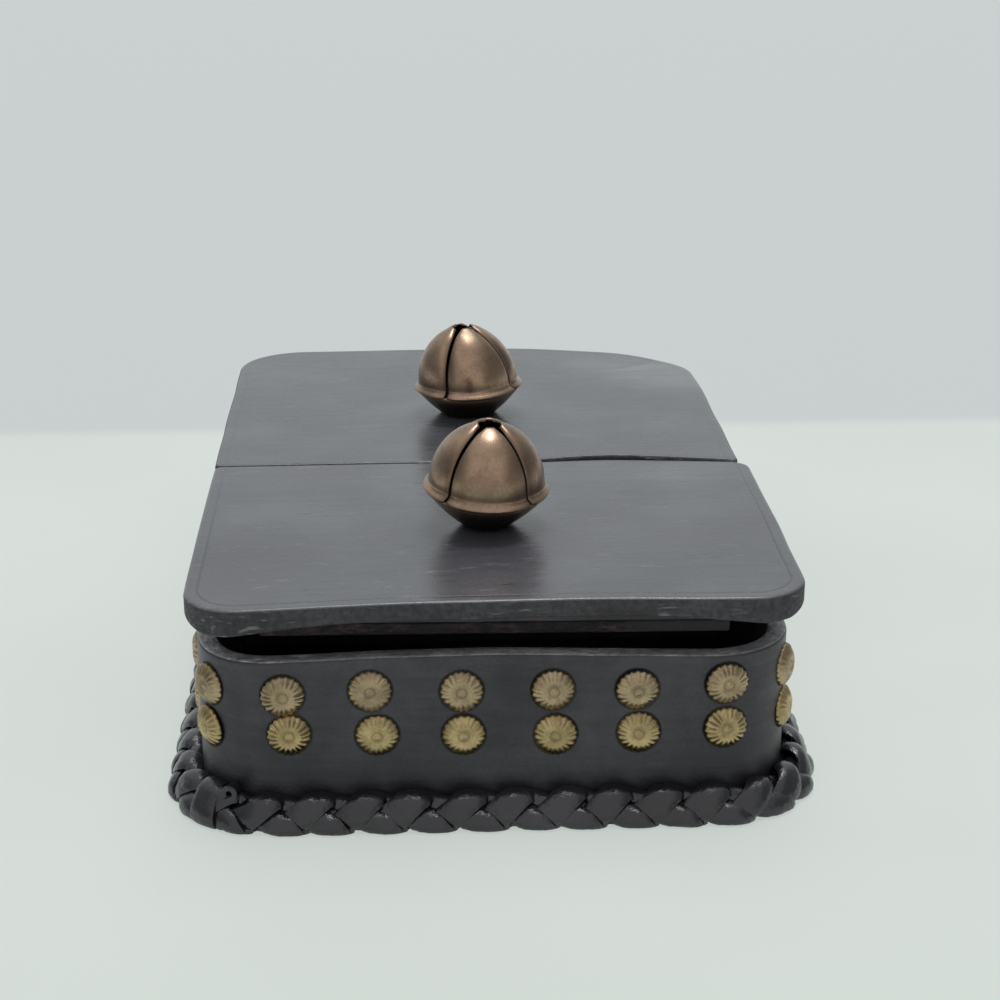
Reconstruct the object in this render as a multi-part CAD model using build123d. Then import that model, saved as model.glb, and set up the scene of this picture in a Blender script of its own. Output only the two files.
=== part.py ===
from build123d import *
from collections import namedtuple
from math import acos, asin, cos, degrees, floor, hypot, radians, sin, sqrt
import os

# Playing card box of thick leather with two card pockets and two lift-off lids.
# Millimetres. Origin at the middle of the underside, +Y to the rear, +Z up.

# The wall band, the divider and the seam where the band's ends meet
body_width = 105.8
body_length = 159.2
corner_radius = 15.0
wall_thickness = 3.6
wall_height = 35.4
divider_thickness = 3.0
divider_y = -6.9
seam_gap = 0.2

# The base plate and the plait laced round its flange
base_thickness = 3.5
flange = 2.5
rebate_depth = 1.0
rebate_inset = 3.5
braid_reach = 6.5
braid_height = 5.7
braid_shoulder = 2.2
braid_foot = 1.2

# The finger scoops: the rim is cut down across the front and the rear, and rises behind the corners
scoop_depth = 8.2
scoop_floor_length = 18.0
scoop_rim_length = 28.0
scoop_radius = 10.0

# The lids
lid_thickness = 3.5
lid_gap = 0.3
lid_end_overhang = 2.9
front_lid_width = 108.0
rear_lid_width = 106.8
rear_lid_shift = -0.7
front_lid_corner = 10.0
rear_lid_left_corner = 15.0
rear_lid_right_corner = 20.0
lid_edge_bevel = 0.6
crease_inset = 2.2
crease_width = 0.8
crease_depth = 0.4

# The two plates under each lid, square cornered, inside the rounded pocket
upper_insert_thickness = 3.8
lower_insert_thickness = 2.2
insert_corner_clearance = 0.64
insert_corner_angle = 15.0
insert_divider_clearance = 1.0

# The bells, each a bowl and a crown of petals that meet in a rolled rim
bell_radius = 11.1
bell_wall = 0.8
bell_sides = 32
bell_seat_width = 1.1
crown_height = 13.0
crown_bands = 4
bowl_depth = 8.3
bowl_arc_radius = 15.0
bowl_bands = 3
rim_proud = 0.4
rim_half_height = 0.8
slit_width = 0.8
crown_opening = 3.8
crown_lip_width = 0.4
front_bell_turn = 0.0
rear_bell_turn = 12.0
front_bell_setback = 38.0
rear_bell_setback = 33.8

# The tab that holds a bell to its lid, its cross pin, and the loose slug
shank_width = 4.0
shank_thickness = 1.5
shank_clearance = 0.3
slot_clearance = 0.05
shank_head_radius = 2.4
shank_head_height = 0.7
pin_radius = 0.8
pin_length = 14.0
pin_clearance = 0.1
pellet_radius = 2.6
pellet_height = 4.4
pellet_clearance = 0.3

# The studs, set out along the strip before it is bent
stud_radius = 3.75
stud_rise = 1.5
stud_flutes = 10
flute_ratio = 0.86
stud_ring_radius = 1.8
stud_dimple_depth = 0.6
stud_pitch = 15.5
stud_first = 13.7
stud_seam_margin = 9.0
stud_row_height = 12.2
stud_row_spacing = 8.3

# Heights and places that follow from the sizes
wall_top = base_thickness + wall_height
lid_top = wall_top + lid_thickness
pocket_radius = corner_radius - wall_thickness
corner_x = body_width / 2 - corner_radius
corner_y = body_length / 2 - corner_radius
insert_reach = pocket_radius - insert_corner_clearance
insert_half_width = corner_x + insert_reach * sin(radians(insert_corner_angle))
insert_end_y = corner_y + insert_reach * cos(radians(insert_corner_angle))
shank_hole_radius = shank_width / 2 + shank_clearance
eye_height = wall_top - pin_radius - pin_clearance
shank_tip = eye_height - shank_width / 2

# The bowl is a bulging cone. Its side is an arc from the flat foot, round the hole in the lid, to the rim
foot_radius = shank_hole_radius + bell_seat_width
bowl_side_height = bowl_depth - rim_half_height
bowl_side_chord = hypot(bell_radius - foot_radius, bowl_side_height)
bowl_side_slope = asin(bowl_side_height / bowl_side_chord)
chord_to_centre = sqrt(bowl_arc_radius**2 - bowl_side_chord**2 / 4)
bowl_arc_x = (bell_radius + foot_radius) / 2 - chord_to_centre * sin(bowl_side_slope)
bowl_arc_height = bowl_side_height / 2 + chord_to_centre * cos(bowl_side_slope)

# The crown is a pointed arch turned round, struck from beyond the bell's axis
arch_offset = (crown_height**2 - bell_radius**2) / (2 * bell_radius)
arch_radius = bell_radius + arch_offset

UP = (Align.CENTER, Align.CENTER, Align.MIN)
DOWN = (Align.CENTER, Align.CENTER, Align.MAX)

Lid = namedtuple("Lid", "name side width shift left_corner right_corner bell_setback bell_turn")
front_lid = Lid(
    "front",
    -1,
    front_lid_width,
    0,
    front_lid_corner,
    front_lid_corner,
    front_bell_setback,
    front_bell_turn,
)
rear_lid = Lid(
    "rear",
    1,
    rear_lid_width,
    rear_lid_shift,
    rear_lid_left_corner,
    rear_lid_right_corner,
    rear_bell_setback,
    rear_bell_turn,
)


def slab(sketch, low, high):
    """A plan made solid between two heights."""
    return extrude(Pos(0, 0, low) * sketch, high - low, dir=(0, 0, 1))


def wall_plan(offset):
    """The wall's outer face in plan, moved outwards by an offset."""
    width = body_width + 2 * offset
    length = body_length + 2 * offset
    return RectangleRounded(width, length, corner_radius + offset)


def make_base_plate():
    """The sole, with a rebate under its edge that takes the lacing."""
    plate = slab(wall_plan(flange), 0, base_thickness)
    rebate = slab(wall_plan(flange) - wall_plan(-rebate_inset), 0, rebate_depth)
    return plate - rebate


def scoop_cutter():
    """The front finger scoop, seen from the side: a level floor that sweeps up to the rim."""
    face = -body_length / 2
    low = wall_top - scoop_depth
    high = wall_top + scoop_depth
    floor_end = (face + scoop_floor_length, low)
    rim_start = (face + scoop_rim_length, wall_top)
    front = face - corner_radius
    outline = Polygon((front, low), floor_end, rim_start, (rim_start[0], high), (front, high), align=None)
    outline = fillet(outline.vertices().sort_by_distance(floor_end)[0], scoop_radius)
    return extrude(Plane.YZ * outline, body_width, both=True)


def make_wall_band():
    """One strip bent round to a box, its ends butted at the rear, its rim scooped front and rear."""
    band = slab(wall_plan(0) - wall_plan(-wall_thickness), base_thickness, wall_top)
    scoop = scoop_cutter()
    band -= scoop
    band -= mirror(scoop, about=Plane.XZ)
    seam = Box(seam_gap, 2.5 * wall_thickness, wall_height, align=UP)
    return band - Pos(0, body_length / 2, base_thickness) * seam


def make_divider():
    """The strip between the two pockets, as high as the wall, so that both lids rest on it."""
    width = body_width - 2 * wall_thickness
    return Pos(0, divider_y, base_thickness) * Box(width, divider_thickness, wall_height, align=UP)


def make_braided_edge():
    """The plait as one rounded bead, gripping the flange from above, outside and below."""
    bead = slab(wall_plan(braid_reach), 0, braid_height)
    bead = chamfer(bead.faces().sort_by(Axis.Z)[-1].edges(), braid_shoulder)
    bead = chamfer(bead.faces().sort_by(Axis.Z)[0].edges(), braid_foot)
    bead -= slab(wall_plan(0), base_thickness, braid_height)
    bead -= slab(wall_plan(flange), rebate_depth, base_thickness)
    return bead - slab(wall_plan(-rebate_inset), 0, rebate_depth)


def split_edge(lid):
    """Where a lid ends at the split between the two."""
    return divider_y + lid.side * lid_gap / 2


def bell_place(lid):
    """The spot on a lid's top where its bell stands, set back from the split."""
    return Pos(lid.shift, split_edge(lid) + lid.side * lid.bell_setback, lid_top)


def lid_plan(lid, inset):
    """A lid in plan, square at the split, its three free sides drawn in by an inset."""
    near = split_edge(lid)
    far = lid.side * (body_length / 2 + lid_end_overhang - inset)
    left = lid.shift - lid.width / 2 + inset
    right = lid.shift + lid.width / 2 - inset
    plan = Polygon((left, near), (right, near), (right, far), (left, far), align=None)
    plan = fillet(plan.vertices().sort_by_distance((left, far))[0], lid.left_corner - inset)
    return fillet(plan.vertices().sort_by_distance((right, far))[0], lid.right_corner - inset)


def make_lid_panel(lid):
    """A thick panel with burnished edges, a creased line and a hole for the bell's shank."""
    panel = slab(lid_plan(lid, 0), wall_top, lid_top)
    rims = panel.faces().sort_by(Axis.Z)[-1].edges() + panel.faces().sort_by(Axis.Z)[0].edges()
    panel = chamfer(rims, lid_edge_bevel)
    crease = lid_plan(lid, crease_inset) - lid_plan(lid, crease_inset + crease_width)
    panel -= slab(crease, lid_top - crease_depth, lid_top)
    return panel - bell_place(lid) * Cylinder(shank_hole_radius, 2.5 * lid_thickness)


def make_insert(lid, top, thickness):
    """One of the two plates under a lid, relieved for the end of the shank and for the pin."""
    near = divider_y + lid.side * (divider_thickness / 2 + insert_divider_clearance)
    far = lid.side * insert_end_y
    plan = Pos(lid.shift, (near + far) / 2) * Rectangle(2 * insert_half_width, abs(far - near))
    plate = slab(plan, top - thickness, top)
    under = bell_place(lid) * Pos(0, 0, -lid_thickness)
    well_depth = wall_top - shank_tip + shank_clearance
    plate -= under * Cylinder(shank_hole_radius, well_depth, align=DOWN)
    groove_width = 2 * (pin_radius + pin_clearance)
    groove = Box(groove_width, pin_length + 2 * pin_clearance, groove_width, align=DOWN)
    return plate - under * groove


def flat_face(*corners):
    """A flat face with these corners."""
    return Face(Wire.make_polygon(corners))


def turned(points):
    """A solid turned in flat facets, from the corners of its side in section, bottom to top."""
    turns = [radians(360 * side / bell_sides) for side in range(bell_sides)]
    rings = []
    for point in points:
        rings.append([Vector(point.X * cos(turn), point.X * sin(turn), point.Y) for turn in turns])
    faces = [flat_face(*rings[0]), flat_face(*rings[-1])]
    for low, high in zip(rings, rings[1:]):
        for side in range(bell_sides):
            faces.append(flat_face(low[side - 1], low[side], high[side], high[side - 1]))
    return Solid(Shell(faces))


def arc_corners(centre, radius, start, end, bands):
    """The corners of an arc in section that is made of straight bands."""
    arc = CenterArc(centre, radius, degrees(start), degrees(end - start))
    return [arc @ (band / bands) for band in range(bands + 1)]


def crown_arch(radius, foot, opening, bands):
    """The corners of the crown's arch, from the height of its foot up to its opening."""
    start = asin(foot / radius)
    end = acos((arch_offset + opening) / radius)
    return arc_corners((-arch_offset, 0), radius, start, end, bands)


def bowl_side(radius, foot):
    """The corners of the bowl's side, from the height of its foot up to the underside of the rim."""
    start = asin((foot - bowl_arc_height) / radius)
    end = asin((bowl_side_height - bowl_arc_height) / radius)
    return arc_corners((bowl_arc_x, bowl_arc_height), radius, start, end, bowl_bands)


def make_bell_crown(lid):
    """The upper half: a domed shell slit into four petals, with a rolled rim over the bowl's edge."""
    rim = [
        Vector(bell_radius, -rim_half_height),
        Vector(bell_radius + rim_proud, -rim_half_height / 2),
        Vector(bell_radius + rim_proud, rim_half_height / 2),
    ]
    outside = crown_arch(arch_radius, rim_half_height, crown_opening / 2 + crown_lip_width, crown_bands)
    inside = crown_arch(arch_radius - bell_wall, 0, crown_opening / 2, crown_bands - 1)
    foot = Vector(bell_radius - bell_wall, -crown_height)
    chimney = Vector(crown_opening / 2, 2 * crown_height)
    crown = turned(rim + outside) - turned([foot] + inside + [chimney])
    for turn in (45, 135):
        crown -= Rot(0, 0, turn) * Box(3 * bell_radius, slit_width, 2 * crown_height, align=UP)
    return bell_place(lid) * Pos(0, 0, bowl_depth) * Rot(0, 0, lid.bell_turn) * crown


def make_bell_bowl(lid):
    """The lower half: a shell with a flat foot and a slot in it for the shank."""
    outside = bowl_side(bowl_arc_radius, 0)
    inside = bowl_side(bowl_arc_radius - bell_wall, bell_wall)
    mouth = Vector(inside[-1].X, 2 * bowl_depth)
    slot_width = shank_width + 2 * slot_clearance
    slot = Box(slot_width, shank_thickness + 2 * slot_clearance, bowl_depth)
    return bell_place(lid) * (turned(outside) - turned(inside + [mouth]) - slot)


def make_bell_shank(lid):
    """A tab headed inside the bowl, with an eye below the lid."""
    head = Pos(0, 0, bell_wall) * Cylinder(shank_head_radius, shank_head_height, align=UP)
    eye = Pos(0, 0, eye_height - lid_top) * Rot(90, 0, 0)
    blade_length = bell_wall + lid_top - eye_height
    blade = Pos(0, 0, bell_wall) * Box(shank_width, shank_thickness, blade_length, align=DOWN)
    blade += eye * Cylinder(shank_width / 2, shank_thickness)
    blade -= eye * Cylinder(pin_radius + pin_clearance, 2 * shank_thickness)
    return bell_place(lid) * (head + blade)


def make_cross_pin(lid):
    """The steel pin through the shank's eye, which bears against the lid from below."""
    pin = Pos(0, 0, eye_height - lid_top) * Rot(90, 0, 0) * Cylinder(pin_radius, pin_length)
    return bell_place(lid) * pin


def make_bell_pellet(lid):
    """The loose steel slug, lying at the bottom of the bell."""
    slug = Cylinder(pellet_radius, pellet_height, align=UP)
    return bell_place(lid) * Pos(0, 0, bell_wall + shank_head_height + pellet_clearance) * slug


def star(radius, height):
    """The outline of a fluted stud at a height, with a point for each rib and each valley."""
    points = []
    for step in range(2 * stud_flutes):
        reach = radius * (flute_ratio if step % 2 else 1)
        angle = radians(180 * step / stud_flutes)
        points.append(Vector(reach * cos(angle), reach * sin(angle), height))
    return points


def make_stud():
    """A rosette head: ribs and valleys that rise to a ring round a dimple."""
    foot = star(stud_radius, 0)
    ring = star(stud_ring_radius, stud_rise)
    dimple = Vector(0, 0, stud_rise - stud_dimple_depth)
    faces = [flat_face(*foot)]
    for step in range(2 * stud_flutes):
        faces.append(flat_face(foot[step - 1], foot[step], ring[step], ring[step - 1]))
        faces.append(flat_face(ring[step - 1], ring[step], dimple))
    return Solid(Shell(faces))


def wall_runs():
    """The wall's outer face in plan as lines and arcs, from the seam round by the left side."""
    half_width = body_width / 2
    half_length = body_length / 2
    return [
        Line((0, half_length), (-corner_x, half_length)),
        CenterArc((-corner_x, corner_y), corner_radius, 90, 90),
        Line((-half_width, corner_y), (-half_width, -corner_y)),
        CenterArc((-corner_x, -corner_y), corner_radius, 180, 90),
        Line((-corner_x, -half_length), (corner_x, -half_length)),
        CenterArc((corner_x, -corner_y), corner_radius, 270, 90),
        Line((half_width, -corner_y), (half_width, corner_y)),
        CenterArc((corner_x, corner_y), corner_radius, 0, 90),
        Line((corner_x, half_length), (0, half_length)),
    ]


def wall_station(distance):
    """The point of the wall's outer face at a distance from the seam, and the way outwards there."""
    for run in wall_runs():
        if distance <= run.length:
            break
        distance -= run.length
    point = run.position_at(distance, PositionMode.LENGTH)
    along = run.tangent_at(distance, PositionMode.LENGTH)
    return point, Vector(along.Y, -along.X, 0)


def side_name(outward):
    """The side of the box that a stud faces."""
    if abs(outward.Y) > abs(outward.X):
        return "front" if outward.Y < 0 else "rear"
    return "left" if outward.X < 0 else "right"


def make_stud_groups():
    """Two rows of studs round the wall, grouped by side and by row."""
    stud = make_stud()
    strip_length = sum(run.length for run in wall_runs())
    columns = floor((strip_length - stud_first - stud_seam_margin) / stud_pitch) + 1
    groups = {}
    for column in range(columns):
        point, outward = wall_station(stud_first + column * stud_pitch)
        for row, row_name in enumerate(("lower", "upper")):
            height = base_thickness + stud_row_height + row * stud_row_spacing
            along = Vector(-outward.Y, outward.X, 0)
            seat = Plane(point + Vector(0, 0, height), x_dir=along, z_dir=outward)
            name = f"{side_name(outward)}_studs_{row_name}"
            groups.setdefault(name, []).append(seat.location * stud)
    return {name: Compound(children=studs) for name, studs in groups.items()}


nodes = {
    "base_plate": make_base_plate(),
    "wall_band": make_wall_band(),
    "divider": make_divider(),
    "braided_edge": make_braided_edge(),
}
for lid in (front_lid, rear_lid):
    nodes[f"{lid.name}_lid_panel"] = make_lid_panel(lid)
    insert_joint = wall_top - upper_insert_thickness
    nodes[f"{lid.name}_insert_upper"] = make_insert(lid, wall_top, upper_insert_thickness)
    nodes[f"{lid.name}_insert_lower"] = make_insert(lid, insert_joint, lower_insert_thickness)
    nodes[f"{lid.name}_bell_crown"] = make_bell_crown(lid)
    nodes[f"{lid.name}_bell_bowl"] = make_bell_bowl(lid)
    nodes[f"{lid.name}_bell_shank"] = make_bell_shank(lid)
    nodes[f"{lid.name}_cross_pin"] = make_cross_pin(lid)
    nodes[f"{lid.name}_bell_pellet"] = make_bell_pellet(lid)
nodes.update(make_stud_groups())

os.makedirs("parts", exist_ok=True)
for name, shape in nodes.items():
    export_step(shape, f"parts/{name}.step")
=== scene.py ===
import math
import random

import bmesh
import bpy
from mathutils import Matrix, Vector, noise


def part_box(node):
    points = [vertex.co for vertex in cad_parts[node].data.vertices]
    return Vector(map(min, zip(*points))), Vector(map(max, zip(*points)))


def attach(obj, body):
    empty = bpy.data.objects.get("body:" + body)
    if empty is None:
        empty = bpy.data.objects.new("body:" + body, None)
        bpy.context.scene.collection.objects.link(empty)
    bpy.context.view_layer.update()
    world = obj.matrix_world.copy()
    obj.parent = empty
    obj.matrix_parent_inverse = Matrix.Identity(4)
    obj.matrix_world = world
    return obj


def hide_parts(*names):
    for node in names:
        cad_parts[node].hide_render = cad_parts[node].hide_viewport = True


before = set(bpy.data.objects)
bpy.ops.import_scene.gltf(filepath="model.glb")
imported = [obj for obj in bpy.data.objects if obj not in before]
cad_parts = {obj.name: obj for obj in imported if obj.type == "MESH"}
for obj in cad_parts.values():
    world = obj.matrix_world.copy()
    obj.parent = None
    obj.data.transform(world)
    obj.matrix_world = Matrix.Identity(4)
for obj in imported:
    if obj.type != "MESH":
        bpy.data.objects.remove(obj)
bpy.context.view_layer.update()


# The base plate is a thick sole of black vegetable tanned leather, cut to the plan of the box with
# a flange all round, which the plait grips. Almost all of it lies under the wall and the plait.

mm = 0.001


def feed(tree, socket, value):
    """A socket linked to the one that feeds it, or set to a plain value."""
    if isinstance(value, bpy.types.NodeSocket):
        tree.links.new(value, socket)
    else:
        socket.default_value = value


def set_inputs(tree, node, **inputs):
    """A node's inputs by name, each given as a value or as the socket that feeds it."""
    for name, value in inputs.items():
        feed(tree, node.inputs[name.replace("_", " ")], value)


def add_node(tree, kind, settings=None, **inputs):
    """A shader node with its settings and its inputs."""
    made = tree.nodes.new(kind)
    for name, value in (settings or {}).items():
        setattr(made, name, value)
    set_inputs(tree, made, **inputs)
    return made


def reckon(tree, operation, *operands):
    """A Math node's result."""
    made = add_node(tree, "ShaderNodeMath", {"operation": operation})
    for socket, value in zip(made.inputs, operands):
        feed(tree, socket, value)
    return made.outputs[0]


def fade(tree, value, start, end, first=0.0, last=1.0):
    """A value carried smoothly from first to last between two limits."""
    made = add_node(tree, "ShaderNodeMapRange", {"interpolation_type": "SMOOTHSTEP"}, Value=value)
    set_inputs(tree, made, From_Min=start, From_Max=end, To_Min=first, To_Max=last)
    return made.outputs[0]


def tint(tree, share, first, second):
    """Two colours mixed by a share."""
    made = add_node(tree, "ShaderNodeMix", {"data_type": "RGBA"})
    feed(tree, made.inputs[0], share)
    for socket, colour in ((made.inputs[6], first), (made.inputs[7], second)):
        feed(tree, socket, (*colour, 1) if isinstance(colour, tuple) else colour)
    return made.outputs[2]


def stretch(tree, place, *scale):
    """A place scaled along each axis, so that what is spread over it runs in streaks."""
    return add_node(tree, "ShaderNodeMapping", Vector=place, Scale=scale).outputs[0]


def speckle(tree, place, fineness, detail, roughness=0.5):
    """Noise spread over a place."""
    made = add_node(tree, "ShaderNodeTexNoise", Vector=place, Scale=fineness)
    set_inputs(tree, made, Detail=detail, Roughness=roughness)
    return made.outputs[0]


def emboss(tree, height, strength, depth, below=None):
    """The normal of a surface that is bumpy by a height, over the bumps below it."""
    made = add_node(tree, "ShaderNodeBump", Height=height, Strength=strength, Distance=depth)
    if below is not None:
        feed(tree, made.inputs["Normal"], below)
    return made.outputs[0]


def new_finish(name):
    """An empty material with its Principled shader and its object coordinates."""
    made = bpy.data.materials.new(name)
    made.use_nodes = True
    tree = made.node_tree
    place = tree.nodes.new("ShaderNodeTexCoord").outputs["Object"]
    return made, tree, tree.nodes["Principled BSDF"], place


def new_effect(name, **inputs):
    """An empty node group that takes a place and some values, and gives a tone and a height."""
    tree = bpy.data.node_groups.new(name, "ShaderNodeTree")
    tree.interface.new_socket("Vector", in_out="INPUT", socket_type="NodeSocketVector")
    for label, value in inputs.items():
        socket = tree.interface.new_socket(label, in_out="INPUT", socket_type="NodeSocketFloat")
        socket.default_value = value
    for label in ("Tone", "Height"):
        tree.interface.new_socket(label, in_out="OUTPUT", socket_type="NodeSocketFloat")
    return tree, tree.nodes.new("NodeGroupInput"), tree.nodes.new("NodeGroupOutput")


def use_effect(tree, effect, **inputs):
    """The tone and the height of an effect placed in a material."""
    made = add_node(tree, "ShaderNodeGroup", {"node_tree": effect}, **inputs)
    return made.outputs["Tone"], made.outputs["Height"]


def make_hide_effect():
    """The surface of tanned leather: fine grain, streaks along X and slow mottling."""
    tree, start, end = new_effect("hide", Grain=900.0, Streaks=0.5)
    place = start.outputs["Vector"]
    grain = speckle(tree, place, start.outputs["Grain"], 5.0, 0.7)
    streak = speckle(tree, stretch(tree, place, 0.06, 1.0, 1.0), 700.0, 4.0, 0.6)
    mottle = speckle(tree, place, 45.0, 3.0, 0.55)
    streak_part = reckon(tree, "MULTIPLY", streak, start.outputs["Streaks"])
    height = reckon(tree, "MULTIPLY_ADD", grain, 0.6, streak_part)
    tone = reckon(tree, "MULTIPLY_ADD", mottle, 0.7, reckon(tree, "MULTIPLY", height, 0.5))
    set_inputs(tree, end, Tone=fade(tree, tone, 0.4, 0.9), Height=height)
    return tree


hide_effect = make_hide_effect()


def make_plain_leather(name, dark, light, roughness):
    """Black leather with nothing else to it than its grain."""
    made, tree, surface, place = new_finish(name)
    tone, grain = use_effect(tree, hide_effect, Vector=place)
    set_inputs(
        tree,
        surface,
        Base_Color=tint(tree, tone, dark, light),
        Roughness=fade(tree, tone, 0, 1, roughness + 0.06, roughness - 0.06),
        Normal=emboss(tree, grain, 0.5, 0.1 * mm),
    )
    return made


def dress_node(name, material):
    """A piece shown as its CAD node, with a finish."""
    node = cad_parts[name]
    node.data.materials.clear()
    node.data.materials.append(material)


base_leather = make_plain_leather("base leather", (0.07, 0.068, 0.072), (0.11, 0.105, 0.11), 0.7)
dress_node("base_plate", base_leather)


# The wall is one strip of thick black leather, bent round to a box and butted at the middle of the
# rear. Its burnished rim is cut down across the front and the rear, to let a finger under the lids,
# and its face is pressed in round each stud.

corner_radius = 15 * mm
wall_low, wall_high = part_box("wall_band")
half_width, half_length = wall_high.x, wall_high.y
wall_thickness = half_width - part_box("divider")[1].x
wall_rounding = 1.1 * mm
wall_dent = 0.12 * mm
strip_height = wall_high.z - wall_low.z
rim_waver = 0.25 * mm
scoop_depth = 8.2 * mm
scoop_floor_length = 18.0 * mm
scoop_rim_length = 28.0 * mm
scoop_sway = 0.5 * mm
scoop_sway_middle = -7 * mm
scoop_sway_reach = 46 * mm
seam_half_gap = 0.1 * mm
stud_first = 13.7 * mm
stud_pitch = 15.5 * mm
stud_columns = 32
stud_rows = {"lower": 15.7 * mm, "upper": 24.0 * mm}
stray_aside = 0.35
stray_upwards = 0.3


def round_the_box(distance, offset=0.0):
    """A point beside the wall at a distance from the rear seam, by the left side, and the way out."""
    radius = corner_radius + offset
    straight_x = half_width - corner_radius
    straight_y = half_length - corner_radius
    quarter = radius * math.pi / 2
    signs = ((-1, 1), (-1, -1), (1, -1), (1, 1))
    centres = [Vector((x * straight_x, y * straight_y, 0)) for x, y in signs]
    runs = [straight_x, 2 * straight_y, 2 * straight_x, 2 * straight_y, straight_x]
    for corner, run in enumerate(runs):
        turn = math.pi / 2 * (corner + 1)
        out = Vector((math.cos(turn), math.sin(turn), 0))
        along = Vector((-out.y, out.x, 0))
        if distance <= run or corner == 4:
            middle = Vector((0, half_length, 0))
            if corner > 0:
                middle = centres[corner - 1] + out * corner_radius
            return middle + out * offset + along * distance, out
        distance -= run
        if distance <= quarter:
            turn += distance / radius
            out = Vector((math.cos(turn), math.sin(turn), 0))
            return centres[corner] + out * radius, out
        distance -= quarter


def outline_length(offset=0.0):
    """The length of the line round the box at an offset from the wall."""
    return 4 * (half_width + half_length - 2 * corner_radius) + 2 * math.pi * (corner_radius + offset)


def rim_drop(point):
    """How far the rim is cut down at a point of the wall, least at the middle of the front."""
    inward = half_length - abs(point.y)
    share = min(max((scoop_rim_length - inward) / (scoop_rim_length - scoop_floor_length), 0), 1)
    from_middle = min(abs(point.x - scoop_sway_middle) / scoop_sway_reach, 1)
    sway = scoop_sway * math.cos(math.pi * from_middle)
    return (scoop_depth - sway) * share * share * (3 - 2 * share)


stud_dice = random.Random(5)
first_front_column = 13
front_nudges = {
    "lower": [(0.7, 1.1), (0.5, 0.7), (0.1, 0.4), (0.7, 0.1), (-0.2, 0.2), (-0.3, 0.7)],
    "upper": [(-0.2, 0.2), (-0.6, 0.8), (-0.2, 0.4), (0.3, 0.3), (-0.5, 0), (-0.3, 0.8)],
}
studs = []
for column in range(stud_columns):
    for row, height in stud_rows.items():
        aside = stud_dice.uniform(-stray_aside, stray_aside)
        above = stud_dice.uniform(-stray_upwards, stray_upwards)
        in_front = column - first_front_column
        if 0 <= in_front < len(front_nudges[row]):
            aside, above = front_nudges[row][in_front]
        studs.append((row, stud_first + column * stud_pitch + aside * mm, height + above * mm))


def finish_piece(name, bm, body, slot, *materials):
    """A mesh made into a smooth shaded piece that rides on its body."""
    mesh = bpy.data.meshes.new(name)
    bm.to_mesh(mesh)
    bm.free()
    mesh.shade_smooth()
    for material in materials:
        mesh.materials.append(material)
    piece = bpy.data.objects.new(name, mesh)
    bpy.context.scene.collection.objects.link(piece)
    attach(piece, body)
    return piece


def add_thickness(piece, thickness, edge=0, inside=0):
    """A wall's thickness, grown inwards, with the finishes that its cut edge and its inside take."""
    wall = piece.modifiers.new("thickness", "SOLIDIFY")
    wall.thickness = thickness
    wall.offset = -1
    wall.use_even_offset = True
    wall.material_offset = inside
    wall.material_offset_rim = edge
    return wall


def round_edges(piece, width, segments=3):
    """Sharp edges rounded over."""
    bevel = piece.modifiers.new("rounded edges", "BEVEL")
    bevel.width = width
    bevel.segments = segments
    bevel.limit_method = "ANGLE"
    bevel.angle_limit = math.radians(40)


def stored_value(tree, name):
    """A value that the mesh stores at each of its points."""
    return add_node(tree, "ShaderNodeAttribute", {"attribute_name": name}).outputs["Fac"]


def measure(tree, place, axis):
    """How far a place lies along an axis."""
    return add_node(tree, "ShaderNodeSeparateXYZ", Vector=place).outputs[axis]


def make_wall_leather():
    """Leather brushed along the strip and mottled, with painted shade in the ring pressed in round each stud
    and towards the plait at its foot.
    """
    made, tree, surface, _ = new_finish("wall leather")
    strip = add_node(tree, "ShaderNodeUVMap", {"uv_map": "strip"}).outputs[0]
    tone, grain = use_effect(tree, hide_effect, Vector=strip, Grain=1500.0, Streaks=0.5)
    # The ring round each stud is both a dent and painted shade: it bumps the leather in and darkens its
    # colour.
    pressed_ring_and_shade = fade(tree, stored_value(tree, "from_stud"), 3.6, 4.3, 1.0, 0.0)
    smudge = fade(tree, speckle(tree, strip, 130.0, 4.0, 0.65), 0.35, 0.65)
    # The darkening towards the plait at the wall's foot is painted shade; the smudges mixed in with it are
    # the leather's own mottling.
    foot = fade(tree, measure(tree, strip, "Y"), 0.006, 0.014, 0.3, 0.0)
    colour = tint(tree, tone, (0.017, 0.0165, 0.021), (0.067, 0.067, 0.079))
    colour = tint(tree, reckon(tree, "MULTIPLY_ADD", smudge, 0.4, foot), colour, (0.014, 0.013, 0.016))
    set_inputs(
        tree,
        surface,
        Base_Color=tint(tree, pressed_ring_and_shade, colour, (0.013, 0.013, 0.016)),
        Roughness=fade(tree, tone, 0, 1, 0.44, 0.32),
        Normal=emboss(tree, grain, 0.6, 0.2 * mm, emboss(tree, pressed_ring_and_shade, 1.0, -0.25 * mm)),
    )
    return made


def make_cut_leather(name, dark, light, scuff, lump, roughness):
    """The cut edge of thick leather, bumpy with pale rubbed scratches."""
    made, tree, surface, place = new_finish(name)
    tone, grain = use_effect(tree, hide_effect, Vector=place, Grain=700.0, Streaks=0.8)
    scratch = speckle(tree, stretch(tree, place, 0.25, 1.0, 1.6), 900.0, 3.0, 0.6)
    patch = speckle(tree, place, 70.0, 1.0)
    pale = reckon(tree, "MULTIPLY", fade(tree, scratch, 0.57, 0.68), fade(tree, patch, 0.46, 0.62))
    lumps = speckle(tree, place, lump, 4.0, 0.65)
    tone = reckon(tree, "MULTIPLY", tone, fade(tree, lumps, 0.38, 0.62, 0.5, 1.25))
    colour = tint(tree, tone, dark, light)
    set_inputs(
        tree,
        surface,
        Base_Color=tint(tree, reckon(tree, "MULTIPLY", pale, 0.8), colour, scuff),
        Roughness=roughness,
        Normal=emboss(tree, grain, 0.9, 0.3 * mm, emboss(tree, lumps, 1.0, 320.0 / lump * mm)),
    )
    return made


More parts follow.
